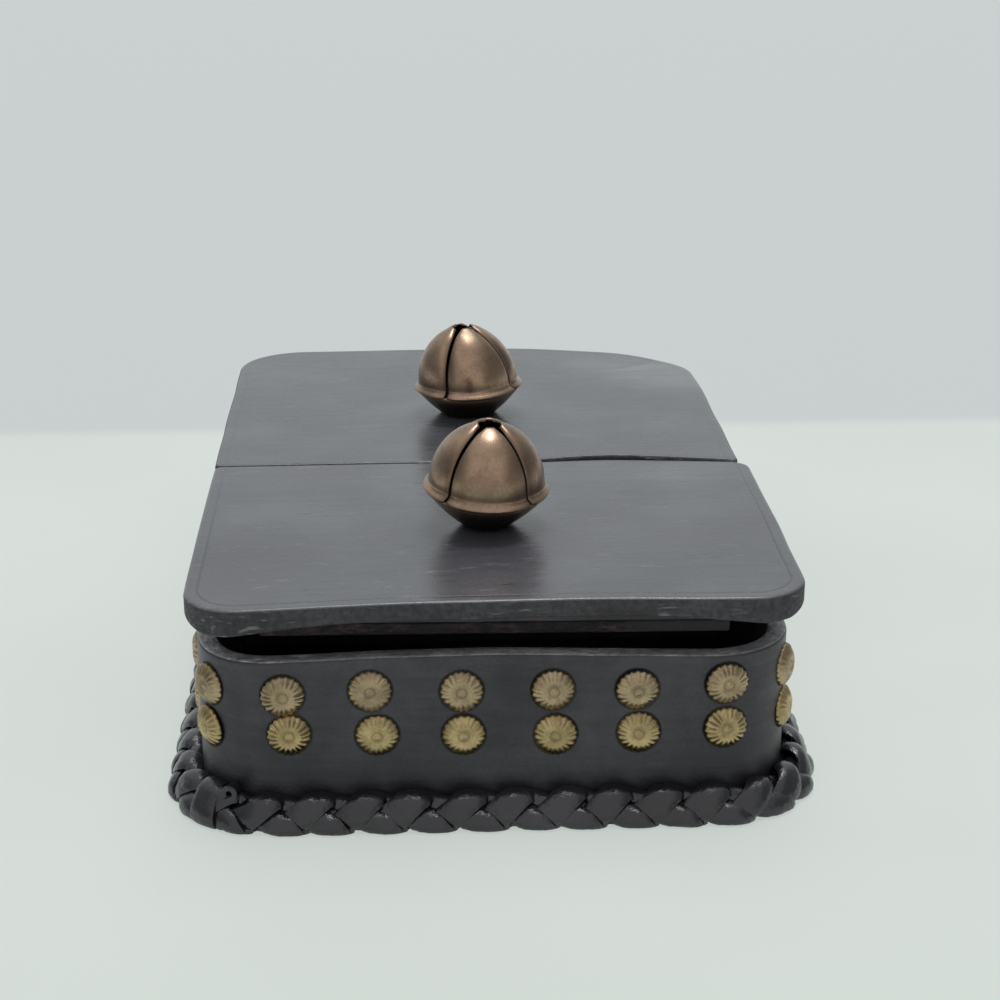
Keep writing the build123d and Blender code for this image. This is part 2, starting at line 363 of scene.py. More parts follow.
# The wall's cut edge is coloured far paler than the lid's own cut edge: painted light for the rim that sits
# in the lid's shade, under pale rubbed scratches that are its own.
cut_leather = make_cut_leather(
    "cut leather", (0.15, 0.147, 0.158), (0.38, 0.37, 0.39), (0.75, 0.73, 0.73), 500.0, 0.45
)


def make_wall():
    """The strip as a flat grid, its rim scooped, then bent round the box."""
    bm = bmesh.new()
    bmesh.ops.create_grid(bm, x_segments=420, y_segments=28, size=1)
    strip = bm.loops.layers.uv.new("strip")
    from_stud = bm.verts.layers.float.new("from_stud")
    length = outline_length()
    laid_out = {}
    for vert in bm.verts:
        along = seam_half_gap + (length - 2 * seam_half_gap) * (1 + vert.co.x) / 2
        point, out = round_the_box(along)
        rim = strip_height - rim_drop(point) + rim_waver * noise.noise(point * 60)
        height = wall_low.z + rim * (1 + vert.co.y) / 2
        nearest = min(math.hypot(along - across, height - up) for _, across, up in studs)
        vert[from_stud] = nearest / mm
        laid_out[vert] = (along, height)
        dent = wall_dent * noise.noise(point * 45 + Vector((0, 0, height * 45)))
        vert.co = point + Vector((0, 0, height)) + out * dent
    for face in bm.faces:
        for loop in face.loops:
            loop[strip].uv = laid_out[loop.vert]
    return bm


flesh_side = make_plain_leather("flesh side", (0.07, 0.068, 0.072), (0.12, 0.115, 0.12), 0.75)
wall = finish_piece("wall", make_wall(), "box", "leather_wall", make_wall_leather(), cut_leather, flesh_side)
add_thickness(wall, wall_thickness, edge=1, inside=2)
round_edges(wall, wall_rounding, 4)
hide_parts("wall_band")


# The divider is a strip of the same leather, glued across the box between the two pockets. It is as
# high as the wall, so that both lids rest on it.

dress_node("divider", flesh_side)


# The studs are stamped brass rosettes, pressed into the strip before it was bent: a ring of fine
# flutes round a dimple with a small nipple. Two prongs behind each are clinched in the leather. The
# stamping is uneven, and the upper row has tarnished browner than the lower one.

stud_radius = 3.75 * mm
stud_rise = 1.5 * mm
stud_dent = 0.16 * mm
stud_lean = 0.08
flutes = 20
flute_depth = 0.1 * mm
flutes_from = 0.4
flute_scallop = 0.035
dimple_edge = 0.24
dimple_edge_width = 0.1


def spin_section(section, steps):
    """A mesh spun round the upright axis from the points of its section."""
    bm = bmesh.new()
    verts = [bm.verts.new((reach, 0, height)) for reach, height in section]
    for first, second in zip(verts, verts[1:]):
        bm.edges.new((first, second))
    bmesh.ops.spin(
        bm,
        geom=bm.verts[:] + bm.edges[:],
        axis=(0, 0, 1),
        cent=(0, 0, 0),
        angle=2 * math.pi,
        steps=steps,
        use_merge=True,
    )
    bmesh.ops.remove_doubles(bm, verts=bm.verts, dist=0.001 * mm)
    bmesh.ops.recalc_face_normals(bm, faces=bm.faces)
    return bm


def hump(value, middle, reach):
    """A smooth hump: 1 at its middle, falling away on both sides."""
    return math.exp(-(((value - middle) / reach) ** 2))


def make_rosette():
    """A plain rosette, spun from its section."""
    section = [(1, -0.1), (1.01, 0.1), (0.985, 0.24), (0.93, 0.4), (0.84, 0.58), (0.7, 0.8), (0.58, 0.94)]
    section += [(0.5, 1.0), (0.42, 0.97), (0.35, 0.89), (0.28, 0.82), (0.22, 0.8), (0.16, 0.85)]
    section += [(0.09, 0.96), (0, 1.0)]
    bm = spin_section([(share * stud_radius, rise * stud_rise) for share, rise in section], 4 * flutes)
    mesh = bpy.data.meshes.new("rosette")
    bm.to_mesh(mesh)
    bm.free()
    return mesh


def stamp_flutes(verts, hollow, which):
    """Flutes, dents and wear pressed unevenly into one rosette."""
    strength = stud_dice.uniform(0.45, 1.1)
    start = stud_dice.uniform(0, 6)
    for vert in verts:
        share = vert.co.xy.length / stud_radius
        around = math.atan2(vert.co.y, vert.co.x)
        uneven = noise.noise(Vector((1.5 * math.cos(around), 1.5 * math.sin(around), which)))
        wave = math.cos(flutes * around + start + 1.5 * uneven)
        fluted = min(max((share - flutes_from) / 0.22, 0), 1) * min(max((1.1 - share) / 0.3, 0.3), 1)
        depth = strength * (1 + 0.9 * uneven)
        dent = noise.noise(vert.co / stud_radius * 1.7 + Vector((which, 0, 0)))
        vert.co.z += flute_depth * depth * wave * fluted + stud_dent * dent * (1.05 - share)
        vert.co.xy *= 1 + flute_scallop * wave * max(share - 0.75, 0) / 0.25 + 0.012 * uneven
        dimple = hump(share, dimple_edge, dimple_edge_width)
        vert[hollow] = 0.5 * depth * fluted * (1 - wave) + 0.75 * dimple


def make_tarnish_effect():
    """Slow patches and fine specks of tarnish on bare metal."""
    tree, start, end = new_effect("tarnish", Patch=250.0, Speck=2500.0)
    place = start.outputs["Vector"]
    patch = speckle(tree, place, start.outputs["Patch"], 3.0, 0.6)
    speck = speckle(tree, place, start.outputs["Speck"], 2.0, 0.6)
    tone = reckon(tree, "MULTIPLY_ADD", speck, 0.3, reckon(tree, "MULTIPLY", patch, 0.8))
    set_inputs(tree, end, Tone=fade(tree, tone, 0.38, 0.72), Height=speck)
    return tree


tarnish_effect = make_tarnish_effect()


def make_brass(name, bright, dull, hollow_colour):
    """Aged brass, brown in the flutes and the dimple."""
    made, tree, surface, place = new_finish(name)
    tone, speck = use_effect(tree, tarnish_effect, Vector=place)
    hollow = fade(tree, stored_value(tree, "hollow"), 0.35, 1.0, 0.0, 0.8)
    set_inputs(
        tree,
        surface,
        Base_Color=tint(tree, hollow, tint(tree, tone, bright, dull), hollow_colour),
        Metallic=1.0,
        Roughness=fade(tree, tone, 0, 1, 0.24, 0.4),
        Normal=emboss(tree, speck, 0.5, 0.05 * mm),
    )
    return made


brass = {
    "lower": make_brass("yellow brass", (0.54, 0.42, 0.215), (0.34, 0.265, 0.135), (0.1, 0.07, 0.035)),
    "upper": make_brass("browned brass", (0.46, 0.36, 0.22), (0.29, 0.225, 0.135), (0.09, 0.065, 0.038)),
}
rosette = make_rosette()
groups = {}
for which, (row, along, height) in enumerate(studs):
    point, out = round_the_box(along)
    side = "left" if out.x < 0 else "right"
    if abs(out.y) > abs(out.x):
        side = "front" if out.y < 0 else "rear"
    name = f"{side}_studs_{row}"
    if name not in groups:
        groups[name] = bmesh.new()
        groups[name].verts.layers.float.new("hollow")
    bm = groups[name]
    start = len(bm.verts)
    bm.from_mesh(rosette)
    bm.verts.ensure_lookup_table()
    verts = bm.verts[start:]
    stamp_flutes(verts, bm.verts.layers.float["hollow"], which)
    lean = Vector([stud_dice.uniform(-stud_lean, stud_lean) for _ in range(3)])
    facing = (out + lean).to_track_quat("Z", "Y").to_matrix().to_4x4()
    turn = facing @ Matrix.Rotation(stud_dice.uniform(0, 6), 4, "Z")
    bmesh.ops.transform(bm, matrix=Matrix.Translation(point + Vector((0, 0, height))) @ turn, verts=verts)
for name, bm in groups.items():
    group = finish_piece(name + "_rosettes", bm, "box", "brass_stud", brass[name.split("_")[-1]])
    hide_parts(name)
bpy.data.meshes.remove(rosette)


# The plait is three flat glossy laces, worked over one another round the flange of the base. Each
# lace goes up over its neighbour on the face, turns along the top against the wall, and goes down
# behind the next one to turn again under the base. The last end is wrapped round and tucked in at
# the front left corner.

lace_width = 4.9 * mm
lace_thickness = 0.9 * mm
lace_rounding = 0.18 * mm
lace_cupping = 0.5 * mm
lace_waver = 0.12 * mm
lace_crumple = 0.22 * mm
plait_offset = 4.0 * mm
plait_swing = 4.5 * mm
plait_drop = 1.4 * mm
plait_lift = 0.8 * mm
plait_turns = 20
plait_phase = 0.026
face_middle = Vector((4.2, 3.6)) * mm
face_half = 1.2 * mm
face_bend = 2.4 * mm
face_lean = math.radians(40)
sharp_bend = math.radians(90)
tucked_bend = 0.9
face_out = Vector((math.cos(face_lean), math.sin(face_lean)))
face_up = Vector((-math.sin(face_lean), math.cos(face_lean)))
table_clearance = 0.2 * mm
core_half_height = 5.4 * mm
core_depth = 1.3 * mm
wrap_distance = 212.5 * mm
wrap_half_length = 5.6 * mm
wrap_lift = 0.95 * mm
wrap_cupping = 0.2 * mm
wrap_slant = 0.22
tail_distance = 216.5 * mm
tail_curl = math.radians(300)
tail_radius = 1.9 * mm
tail_tightening = 1.35 * mm
tail_height = 4.9 * mm
tail_half_width = 1.7 * mm
tail_inset = 1.5 * mm


def on_the_plait(distance, across, lift):
    """A point over the plait's leaning face, across being measured up the face and round its bends."""
    bend = max(abs(across) - face_half, 0) / face_bend
    if bend > sharp_bend:
        bend = sharp_bend + tucked_bend * (1 - math.exp((sharp_bend - bend) / tucked_bend))
    reach = min(abs(across), face_half) + (face_bend + lift) * math.sin(bend)
    place = face_middle + face_up * math.copysign(reach, across)
    place += face_out * ((face_bend + lift) * math.cos(bend) - face_bend)
    height = max(place.y, lace_thickness / 2 + table_clearance)
    point, out = round_the_box(distance, plait_offset)
    return point + out * (place.x - plait_offset) + Vector((0, 0, height))


def make_lace(bm, start):
    """One lace as a flat strip, laid along its route and closed on itself."""
    length = outline_length(plait_offset)
    made = bmesh.ops.create_grid(bm, x_segments=52 * plait_turns, y_segments=6, size=1)
    for vert in made["verts"]:
        share = (1 + vert.co.x) / 2
        point, _ = round_the_box(share * length, plait_offset)
        uneven = noise.noise(point * 40 + Vector((0, 0, 7 * start)))
        turn = 2 * math.pi * (plait_turns * share + start) + 0.3 * uneven
        swing = plait_swing * (1 + 0.1 * noise.noise(point * 60 + Vector((9, 0, start))))
        across = swing * (math.sin(turn) - 0.1 * math.sin(3 * turn)) - plait_drop
        slope = swing * (math.cos(turn) - 0.3 * math.cos(3 * turn)) * 2 * math.pi * plait_turns / length
        way = Vector((1, slope)).normalized()
        aside = vert.co.y * lace_width / 2 * (1 + 0.12 * uneven)
        lift = plait_lift * math.sin(2 * turn) - lace_cupping * abs(vert.co.y) ** 3 + lace_waver * uneven
        lift += lace_crumple * noise.noise(Vector((share * length * 260, vert.co.y * 1.6, 5 * start)))
        vert.co = on_the_plait((share * length - aside * way.y) % length, across + aside * way.x, lift)
    bmesh.ops.remove_doubles(bm, verts=made["verts"], dist=0.01 * mm)


def make_plait_core(bm):
    """The laces' hidden turns behind the face, as one closed band."""
    length = outline_length(plait_offset)
    made = bmesh.ops.create_grid(bm, x_segments=12 * plait_turns, y_segments=6, size=1)
    for vert in made["verts"]:
        distance = length * (1 + vert.co.x) / 2
        vert.co = on_the_plait(distance, core_half_height * vert.co.y, -core_depth)
    bmesh.ops.remove_doubles(bm, verts=made["verts"], dist=0.01 * mm)


def make_wrap(bm):
    """The last end laid once over the plait."""
    made = bmesh.ops.create_grid(bm, x_segments=28, y_segments=6, size=1)
    for vert in made["verts"]:
        across = vert.co.x * wrap_half_length
        aside = vert.co.y * lace_width / 2
        lift = wrap_lift - wrap_cupping * vert.co.y**2
        vert.co = on_the_plait(wrap_distance + aside - wrap_slant * across, across + 0.1 * aside, lift)


def make_tail(bm):
    """The cut end, curled up where it comes out between the plait and the wall."""
    made = bmesh.ops.create_grid(bm, x_segments=32, y_segments=4, size=1)
    for vert in made["verts"]:
        share = (1 + vert.co.x) / 2
        curl = tail_curl * share
        radius = tail_radius - tail_tightening * share
        distance = tail_distance + radius * math.sin(curl) + 0.5 * mm * vert.co.y
        point, out = round_the_box(distance, plait_offset)
        height = tail_height + radius * (1 - math.cos(curl)) + 0.4 * mm * vert.co.y
        vert.co = point + out * (vert.co.y * tail_half_width - tail_inset) + Vector((0, 0, height))


def make_lace_finish():
    """Glossy black lace leather, creased, its tone mottled a little."""
    made, tree, surface, place = new_finish("lace leather")
    tone, grain = use_effect(tree, hide_effect, Vector=place, Grain=1100.0, Streaks=0.2)
    crease = speckle(tree, place, 420.0, 3.0, 0.6)
    set_inputs(
        tree,
        surface,
        Base_Color=tint(tree, tone, (0.006, 0.006, 0.009), (0.03, 0.029, 0.041)),
        Roughness=fade(tree, crease, 0.3, 0.7, 0.07, 0.22),
        Specular_IOR_Level=0.8,
        Normal=emboss(tree, grain, 0.7, 0.14 * mm, emboss(tree, crease, 0.6, 0.45 * mm)),
    )
    return made


lace_finish = make_lace_finish()
plait_mesh = bmesh.new()
for lace in range(3):
    make_lace(plait_mesh, plait_phase + lace / 3)
make_plait_core(plait_mesh)
bmesh.ops.recalc_face_normals(plait_mesh, faces=plait_mesh.faces)
plait = finish_piece("plait", plait_mesh, "box", "leather_lace", lace_finish)
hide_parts("braided_edge")
end_mesh = bmesh.new()
make_wrap(end_mesh)
make_tail(end_mesh)
plait_end = finish_piece("plait_end", end_mesh, "box", "leather_lace", lace_finish)
for lace_work in (plait, plait_end):
    laid = add_thickness(lace_work, lace_thickness)
    laid.offset = 0
    laid.use_even_offset = False
    round_edges(lace_work, lace_rounding, 2)


# Each lid is a thick panel of black leather with burnished edges and a line creased a little inside
# its three free sides. Some corners have sagged, the leather rises a little round the bell, and the
# two lids don't quite meet along the split.

lid_thickness = 3.5 * mm
lid_rounding = 0.6 * mm
crease_inset = 2.4 * mm
lid_corners = {"front": (10 * mm, 10 * mm), "rear": (15 * mm, 20 * mm)}
split_corners = {"front": (1.5 * mm, 3.5 * mm), "rear": (0.5 * mm, 0.5 * mm)}
corner_sags = {"front": (1.2 * mm, 0.5 * mm), "rear": (0.2 * mm, 2.0 * mm)}
sag_reach = 50 * mm
lid_unevenness = 0.12 * mm
edge_waver = 0.25 * mm
front_lid_right_overhang = 0.35 * mm
swollen_thickness = 5.0 * mm
swelling_start = 26 * mm
swelling_rise = 20 * mm
swelling_reach = 14 * mm
split_gap = 0.5 * mm
split_dip = 0.5 * mm
bell_dome = 0.9 * mm
bell_dome_reach = 13 * mm


def wandering_cut(x):
    """How far back the cut between the lids strays at a place along it."""
    back = 2.6 * mm * hump(x, 26 * mm, 14 * mm)
    return back - 2.0 * mm * max(0, (x - 40 * mm) / (14 * mm)) ** 1.5


def make_lid(name):
    """The panel's top as a grid drawn in to the round of its corners."""
    low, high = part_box(f"{name}_lid_panel")
    bowl_low, bowl_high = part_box(f"{name}_bell_bowl")
    bell = (bowl_low + bowl_high) / 2
    side = -1 if name == "front" else 1
    free_end = low.y if name == "front" else high.y
    split = high.y if name == "front" else low.y
    bm = bmesh.new()
    bmesh.ops.create_grid(bm, x_segments=108, y_segments=80, size=1)
    rim = bm.verts.layers.float.new("rim")
    from_bell = bm.verts.layers.float.new("from_bell")
    swelling = bm.verts.layers.deform.verify()
    for vert in bm.verts:
        right = vert.co.x > 0
        x = low.x + (high.x - low.x) * (1 + vert.co.x) / 2
        y = split + (free_end - split) * (1 + vert.co.y) / 2
        to_side, to_end, to_split = min(x - low.x, high.x - x), abs(free_end - y), abs(y - split)
        vert[rim] = min(to_side, to_end) / mm
        vert[from_bell] = math.hypot(x - bell.x, y - bell.y) / mm
        sideways = min(max((abs(x) - swelling_start) / swelling_rise, 0), 1) * (name == "front")
        vert[swelling][0] = sideways**1.5 * max(0, 1 - to_end / swelling_reach)
        for radii, gap, way in ((lid_corners, to_end, -side), (split_corners, to_split, side)):
            inward = Vector((radii[name][right] - to_side, radii[name][right] - gap))
            if min(inward) > 0:
                drawn = inward * (max(inward) / inward.length)
                x += (inward.x - drawn.x) * (-1 if right else 1)
                y += (inward.y - drawn.y) * way
        from_corner = math.hypot(to_side, to_end) / sag_reach
        sag = corner_sags[name][right] * max(0, 1 - from_corner**2) ** 3
        sag += lid_unevenness * noise.noise(Vector((x, y, 0)) * 28)
        if name == "front":
            sag += split_dip * hump(x, 32 * mm, 24 * mm) * max(0, 1 - to_split / (14 * mm))
        sag -= bell_dome * hump(vert[from_bell] * mm, 0, bell_dome_reach)
        wander = edge_waver * noise.noise(Vector((x, y, 5)) * 55)
        y += wandering_cut(x) * max(0, 1 - to_split / (30 * mm))
        y += side * split_gap * hump(x, 26 * mm, 16 * mm) * max(0, 1 - to_split / (12 * mm))
        y += side * wander * max(0, 1 - to_end / (20 * mm))
        overhang = front_lid_right_overhang if name == "front" and right else 0
        x += (wander + overhang) * vert.co.x
        vert.co = Vector((x, y, high.z - sag))
    outer_corners = [vert for vert in bm.verts if len(vert.link_faces) == 1]
    flattened = [vert for vert in outer_corners if vert.calc_edge_angle(0) < math.radians(40)]
    bmesh.ops.dissolve_verts(bm, verts=flattened)
    bmesh.ops.recalc_face_normals(bm, faces=bm.faces)
    if sum(face.normal.z for face in bm.faces) < 0:
        bmesh.ops.reverse_faces(bm, faces=bm.faces)
    return bm


def make_lid_leather():
    """Satin leather, scuffed and streaked from side to side, its free edges creased, with painted shade and
    painted dark reflection round each bell's foot.
    """
    made, tree, surface, place = new_finish("lid leather")
    tone, grain = use_effect(tree, hide_effect, Vector=place, Grain=1300.0, Streaks=0.5)
    from_bell = stored_value(tree, "from_bell")
    from_crease = reckon(tree, "SUBTRACT", stored_value(tree, "rim"), crease_inset / mm)
    crease = fade(tree, reckon(tree, "ABSOLUTE", from_crease), 0.08, 0.42, 1.0, 0.0)
    pressed = fade(tree, measure(tree, place, "Y"), -0.06, 0.0, 0.55, 0.15)
    crease = reckon(tree, "MULTIPLY", crease, pressed)
    scuff = speckle(tree, stretch(tree, place, 0.3, 1.0, 1.0), 420.0, 5.0, 0.7)
    patch = speckle(tree, place, 28.0, 3.0, 0.6)
    colour = tint(tree, tone, (0.064, 0.066, 0.075), (0.11, 0.112, 0.123))
    colour = tint(tree, fade(tree, patch, 0.42, 0.62, 0.0, 0.6), colour, (0.08, 0.076, 0.088))
    colour = tint(tree, fade(tree, scuff, 0.58, 0.74, 0.0, 0.5), colour, (0.2, 0.2, 0.215))
    colour = tint(tree, fade(tree, scuff, 0.42, 0.28, 0.0, 0.6), colour, (0.03, 0.03, 0.034))
    colour = tint(tree, crease, colour, (0.02, 0.02, 0.022))
    # Painted shade: the lid is darkened round each bell's foot as a contact shadow and a dark reflection of
    # the bell's bowl.
    colour = tint(tree, fade(tree, from_bell, 3.2, 8.0, 0.9, 0.0), colour, (0.008, 0.008, 0.01))
    dull = reckon(tree, "MULTIPLY_ADD", scuff, 0.6, reckon(tree, "MULTIPLY", patch, 0.4))
    handled = fade(tree, from_bell, 6.0, 14.0, 0.6, 1.0)
    set_inputs(
        tree,
        surface,
        Base_Color=colour,
        Roughness=reckon(tree, "MULTIPLY", fade(tree, dull, 0.38, 0.62, 0.16, 0.28), handled),
        Specular_IOR_Level=0.8,
        Normal=emboss(tree, grain, 0.5, 0.14 * mm, emboss(tree, crease, 0.6, -0.2 * mm)),
    )
    return made


lid_leather = make_lid_leather()
lid_edge = make_cut_leather(
    "lid edge", (0.012, 0.012, 0.015), (0.056, 0.055, 0.062), (0.2, 0.195, 0.2), 900.0, 0.6
)
for name in ("front", "rear"):
    lid = finish_piece(f"{name}_lid", make_lid(name), f"{name}_lid", "leather_lid", lid_leather, lid_edge)
    lid.vertex_groups.new(name="swelling")
    panel = add_thickness(lid, swollen_thickness, edge=1)
    panel.use_even_offset = False
    panel.vertex_group = "swelling"
    panel.thickness_vertex_group = lid_thickness / swollen_thickness
    round_edges(lid, lid_rounding)
    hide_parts(f"{name}_lid_panel")


# Two leather plates are glued under each lid and drop into the pocket. Their cut edges are raw, so
# the dye has left them a fibrous dark red brown, and the lower plate's edge stands a little proud.

insert_proud = 0.35 * mm
insert_rounding = 0.35 * mm
insert_rise = 0.7 * mm
cut_waver = 0.2 * mm


def make_insert_finish():
    """Raw cut leather: short fibres, dark with reddish tips."""
    made, tree, surface, place = new_finish("raw cut leather")
    fibre = speckle(tree, stretch(tree, place, 0.4, 1.0, 1.0), 1600.0, 5.0, 0.7)
    patch = speckle(tree, place, 60.0, 2.0)
    tone = reckon(tree, "MULTIPLY", fade(tree, fibre, 0.42, 0.72), fade(tree, patch, 0.35, 0.65, 0.2, 1.0))
    colour = tint(tree, tone, (0.008, 0.006, 0.008), (0.085, 0.048, 0.06))
    on_the_right = fade(tree, measure(tree, place, "X"), 0.02, 0.028)
    set_inputs(
        tree,
        surface,
        Base_Color=tint(tree, on_the_right, colour, (0.03, 0.029, 0.034)),
        Roughness=0.75,
        Normal=emboss(tree, fibre, 1.0, 0.35 * mm),
    )
    return made


def make_plate(name):
    """The lower plate, its edge cut by hand."""
    low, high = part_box(name)
    bm = bmesh.new()
    bmesh.ops.create_grid(bm, x_segments=90, y_segments=80, size=1)
    for vert in bm.verts:
        share = (vert.co + Vector((1, 1, 0))) / 2
        x = low.x + (high.x - low.x) * share.x + insert_proud * vert.co.x
        y = low.y + (high.y - low.y) * share.y + insert_proud * vert.co.y
        uneven = cut_waver * noise.noise(Vector((x, y, 0)) * 120)
        height = high.z + insert_rise * (1 - share.x)
        vert.co = Vector((x + uneven * vert.co.x, y + uneven * vert.co.y, height))
    return bm


insert_finish = make_insert_finish()
dark_leather = make_plain_leather("dark leather", (0.05, 0.045, 0.05), (0.1, 0.09, 0.1), 0.7)
for name in ("front", "rear"):
    dress_node(f"{name}_insert_upper", dark_leather)
    low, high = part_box(f"{name}_insert_lower")
    plate_mesh = make_plate(f"{name}_insert_lower")
    plate = finish_piece(f"{name}_lower_plate", plate_mesh, f"{name}_lid", "leather_insert", insert_finish)
    add_thickness(plate, high.z - low.z)
    round_edges(plate, insert_rounding)
    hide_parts(f"{name}_insert_lower")


# Each lid's knob is a jingle bell in antique copper plate: a conical bowl, and a crown slit into four
# petals whose edges curl in towards the slits and whose feet flare into a rolled rim. Neither bell
# was set quite straight. Both stand in leather that rises round them, the rear one deeper.

bell_wall = 0.8 * mm
crown_heights = {"front": 13 * mm, "rear": 13.7 * mm}
bowl_depth = 8.3 * mm
bowl_arc_radius = 32 * mm
bowl_bands = 14
foot_radius = 3.0 * mm
rim_half_height = 0.8 * mm
rim_proud = 0.95 * mm
petal_tip = 2.2 * mm
petal_wall = 0.5 * mm
petal_waist = 0.35 * mm
petal_waist_reach = 5 * mm
bell_turns = {"front": 0, "rear": 17}
bell_leans = {"front": (6.0, 2.7), "rear": (1.5, -2.1)}
bell_shifts = {"front": Vector((-0.75, 0, 0.1)) * mm, "rear": Vector((-0.4, 0, -1.1)) * mm}
crown_skews = {"front": 0.0, "rear": -0.06}
slit_widths = {"front": (0.6, 0.6, 0.8, 0.15), "rear": (0.6, 0.6, 0.7, 0.2)}


def make_petal(bm, name, bell_radius, quarter):
    """A quarter of the crown as a grid, its edges curled in and its foot flared."""
    arch_offset = (crown_heights[name] ** 2 - bell_radius**2) / (2 * bell_radius)
    arch_radius = bell_radius + arch_offset
    lowest = -rim_half_height / arch_radius
    steepest = math.acos((arch_offset + petal_tip) / arch_radius)
    painted_petal_shade = bm.verts.layers.float["painted_petal_shade"]
    made = bmesh.ops.create_grid(bm, x_segments=30, y_segments=64, size=1)
    for vert in made["verts"]:
        side, up = vert.co.x, (1 + vert.co.y) / 2
        rise = lowest + (steepest - lowest) * up**1.5
        radius = arch_radius * math.cos(rise) - arch_offset
        height = arch_radius * math.sin(rise)
        flare = hump(height, -0.2 * mm, 0.65 * mm)
        slit = slit_widths[name][quarter if side > 0 else quarter - 1]
        gap = (0.06 + 0.24 * slit * min(0.35 + up * up, 0.9) + 0.2 * flare) * mm
        reach = max(math.pi / 4 - gap / radius, 0.02)
        reach *= 1 - 0.3 * max(0, (up - 0.88) / 0.12) ** 2.5
        # Painted shade along the petal edges that curl in at the slits, and in a band just above the rim.
        vert[painted_petal_shade] = max(abs(side) ** 5, 0.5 * hump(height, 1.7 * mm, 0.9 * mm))
        curl = (0.5 * abs(side) ** 7 + 0.22 * abs(side) ** 2) * (1 - 0.5 * flare) * mm
        waist = petal_waist * hump(height, 0, petal_waist_reach)
        radius += rim_proud * flare - curl * math.cos(rise) - waist
        height -= curl * math.sin(rise)
        angle = quarter * math.pi / 2 + side * reach
        x = radius * math.cos(angle) + crown_skews[name] * height
        vert.co = Vector((x, radius * math.sin(angle), height))


def make_crown(name, bell_radius):
    """Four petals round the axis, the rim plane at height 0."""
    bm = bmesh.new()
    bm.verts.layers.float.new("painted_petal_shade")
    for quarter in range(4):
        make_petal(bm, name, bell_radius, quarter)
    bmesh.ops.recalc_face_normals(bm, faces=bm.faces)
    for face in bm.faces:
        if face.normal.dot(face.calc_center_median()) < 0:
            face.normal_flip()
    return bm


def make_bowl(bell_radius):
    """The bowl, spun from its section with a flat foot and a lip under the petals."""
    height = bowl_depth - rim_half_height
    chord = Vector((bell_radius - foot_radius, height))
    to_centre = math.sqrt(bowl_arc_radius**2 - chord.length_squared / 4)
    centre = Vector((foot_radius, 0)) + chord / 2 + Vector((-chord.y, chord.x)).normalized() * to_centre
    start = math.asin(-centre.y / bowl_arc_radius)
    end = math.asin((height - centre.y) / bowl_arc_radius)
    section = [Vector((0, 0))]
    for band in range(bowl_bands + 1):
        angle = start + (end - start) * band / bowl_bands
        section.append(centre + bowl_arc_radius * Vector((math.cos(angle), math.sin(angle))))
    section.append(Vector((bell_radius + 0.1 * mm, bowl_depth - 0.3 * mm)))
    bm = spin_section([(point.x, point.y - bowl_depth) for point in section], 96)
    lowest = min(bm.faces, key=lambda face: face.calc_center_median().z)
    if lowest.normal.z > 0:
        bmesh.ops.reverse_faces(bm, faces=bm.faces)
    return bm


def make_copper(name, bright, dull, foot_shade=0.0):
    """Antique copper plate, satin and unevenly tarnished, with painted shade where the petals curl in at the
    slits and in a band above the rim, and painted shade towards the lid by foot_shade.
    """
    made, tree, surface, place = new_finish(name)
    tone, speck = use_effect(tree, tarnish_effect, Vector=place, Patch=160.0, Speck=1800.0)
    # Painted shade where the petals curl in at the slits and above the rim.
    painted_petal_shade = fade(tree, stored_value(tree, "painted_petal_shade"), 0.1, 0.9, 0.0, 0.7)
    # Painted shade: the copper darkens towards the lid by foot_shade.
    foot = fade(tree, measure(tree, place, "Z"), 0.046, 0.0495, foot_shade, 0.0)
    colour = tint(tree, tone, bright, dull)
    colour = tint(tree, painted_petal_shade, colour, (0.11, 0.075, 0.055))
    set_inputs(
        tree,
        surface,
        Base_Color=tint(tree, foot, colour, (0.05, 0.037, 0.029)),
        Metallic=1.0,
        Roughness=fade(tree, tone, 0, 1, 0.22, 0.32),
        Normal=emboss(tree, speck, 0.3, 0.04 * mm),
    )
    return made


copper = make_copper("antique copper", (0.42, 0.285, 0.195), (0.25, 0.173, 0.125))
# The bowl's copper takes painted shade and painted dark reflection towards the lid.
bowl_copper = make_copper("bowl copper with painted shade", (0.42, 0.29, 0.2), (0.28, 0.195, 0.145), 0.95)
copper_inside = make_copper("blackened copper", (0.11, 0.078, 0.056), (0.05, 0.037, 0.028))
steel = make_copper("steel", (0.5, 0.5, 0.5), (0.35, 0.35, 0.34))
for name in ("front", "rear"):
    body = f"{name}_lid"
    low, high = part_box(f"{name}_bell_bowl")
    bell_radius = (high.x - low.x) / 2
    foot = Vector(((low.x + high.x) / 2, (low.y + high.y) / 2, low.z)) + bell_shifts[name]
    to_viewer, to_right = (math.radians(angle) for angle in bell_leans[name])
    lean = Matrix.Rotation(to_viewer, 4, "X") @ Matrix.Rotation(to_right, 4, "Y")
    turn = Matrix.Rotation(math.radians(bell_turns[name]), 4, "Z")
    stand = Matrix.Translation(foot) @ lean @ Matrix.Translation((0, 0, bowl_depth)) @ turn
    crown_mesh, bowl_mesh = make_crown(name, bell_radius), make_bowl(bell_radius)
    bmesh.ops.transform(crown_mesh, matrix=stand, verts=crown_mesh.verts)
    bmesh.ops.transform(bowl_mesh, matrix=stand, verts=bowl_mesh.verts)
    crown = finish_piece(f"{name}_crown", crown_mesh, body, "antique_copper", copper, copper_inside)
    add_thickness(crown, petal_wall, inside=1)
    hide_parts(f"{name}_bell_crown")
    bowl = finish_piece(f"{name}_bowl", bowl_mesh, body, "antique_copper", bowl_copper, copper_inside)
    add_thickness(bowl, bell_wall, inside=1)
    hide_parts(f"{name}_bell_bowl")
    dress_node(f"{name}_bell_shank", copper)
    dress_node(f"{name}_cross_pin", steel)
    dress_node(f"{name}_bell_pellet", steel)


# The box stands on a pale table in front of a pale sheet, under soft light from above.


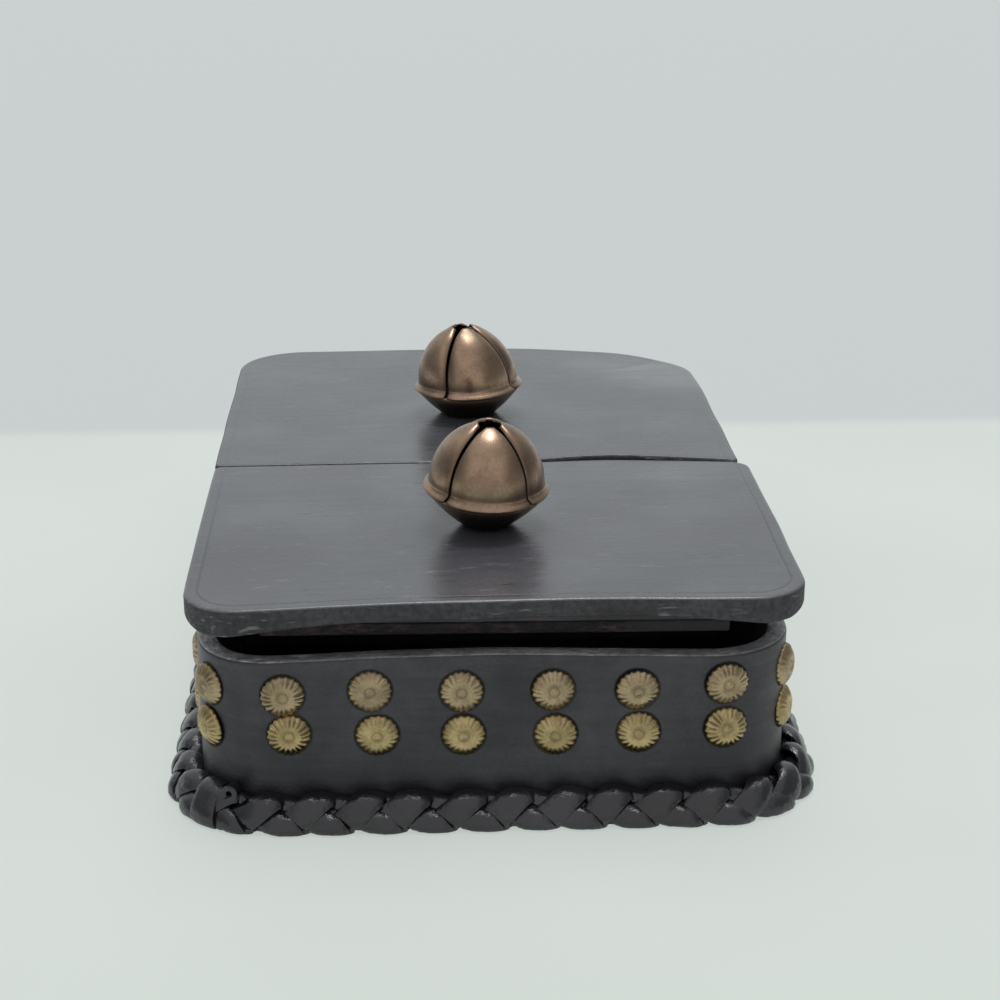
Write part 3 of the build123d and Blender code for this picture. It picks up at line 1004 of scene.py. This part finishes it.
def make_table_finish():
    """A pale surface whose far part takes the slightly darker tone of the sheet behind the box."""
    made, tree, surface, place = new_finish("pale table")
    to_rear = measure(tree, place, "Y")
    cloud = fade(tree, speckle(tree, place, 9.0, 3.0), 0.3, 0.7)
    near = tint(tree, cloud, (0.635, 0.68, 0.65), (0.66, 0.705, 0.675))
    near = tint(tree, fade(tree, to_rear, -0.1, -0.19), near, (0.625, 0.68, 0.63))
    paper = tint(tree, fade(tree, to_rear, 0.148, 0.16), near, (0.56, 0.59, 0.59))
    rays = tree.nodes.new("ShaderNodeLightPath").outputs
    seen = reckon(tree, "MAXIMUM", rays["Is Camera Ray"], rays["Is Glossy Ray"])
    set_inputs(
        tree,
        surface,
        Base_Color=tint(tree, reckon(tree, "MULTIPLY", seen, 0.675), paper, (0, 0, 0)),
        Emission_Color=paper,
        Emission_Strength=reckon(tree, "MULTIPLY", seen, 0.72),
        Roughness=0.9,
        Specular_IOR_Level=0.1,
    )
    return made


bm = bmesh.new()
bmesh.ops.create_grid(bm, x_segments=1, y_segments=1, size=6)
table_mesh = bpy.data.meshes.new("table")
bm.to_mesh(table_mesh)
bm.free()
table_mesh.materials.append(make_table_finish())
table = bpy.data.objects.new("table", table_mesh)
bpy.context.scene.collection.objects.link(table)


def make_surroundings():
    """A pale room all round, dimmer towards its two sides."""
    world = bpy.data.worlds.new("pale room")
    world.use_nodes = True
    tree = world.node_tree
    way = tree.nodes.new("ShaderNodeTexCoord").outputs["Generated"]
    behind = fade(tree, measure(tree, way, "Y"), -0.6, 0.3)
    aside = reckon(tree, "ABSOLUTE", reckon(tree, "ADD", measure(tree, way, "X"), 0.06))
    set_inputs(
        tree,
        tree.nodes["Background"],
        Color=tint(tree, behind, (0.68, 0.68, 0.68), (0.66, 0.7, 0.71)),
        Strength=fade(tree, aside, 0.45, 0.9, 1.0, 0.4),
    )
    return world


bpy.context.scene.world = make_surroundings()


def add_sun(name, strength, softness, way):
    """A broad even light that shines along a direction."""
    lamp = bpy.data.lights.new(name, "SUN")
    lamp.energy = strength
    lamp.angle = math.radians(softness)
    holder = bpy.data.objects.new(name, lamp)
    holder.rotation_euler = Vector(way).to_track_quat("-Z", "Y").to_euler()
    bpy.context.scene.collection.objects.link(holder)


add_sun("ceiling light", 0.86, 40, (-0.05, -0.3, -1))
add_sun("lamp", 0.4, 12, (-0.1, -0.08, -1))

camera_lens = bpy.data.cameras.new("camera")
camera_lens.lens = 74.19
camera_lens.sensor_width = 36
camera_lens.clip_start = 0.01
camera_lens.clip_end = 20
camera = bpy.data.objects.new("camera", camera_lens)
camera.location = Vector((-14.5, -406.5, 173.4)) * mm
camera.rotation_euler = (math.radians(70.799), math.radians(0.089), math.radians(-2.676))
bpy.context.scene.collection.objects.link(camera)
bpy.context.scene.camera = camera
bpy.context.scene.view_settings.view_transform = "Standard"
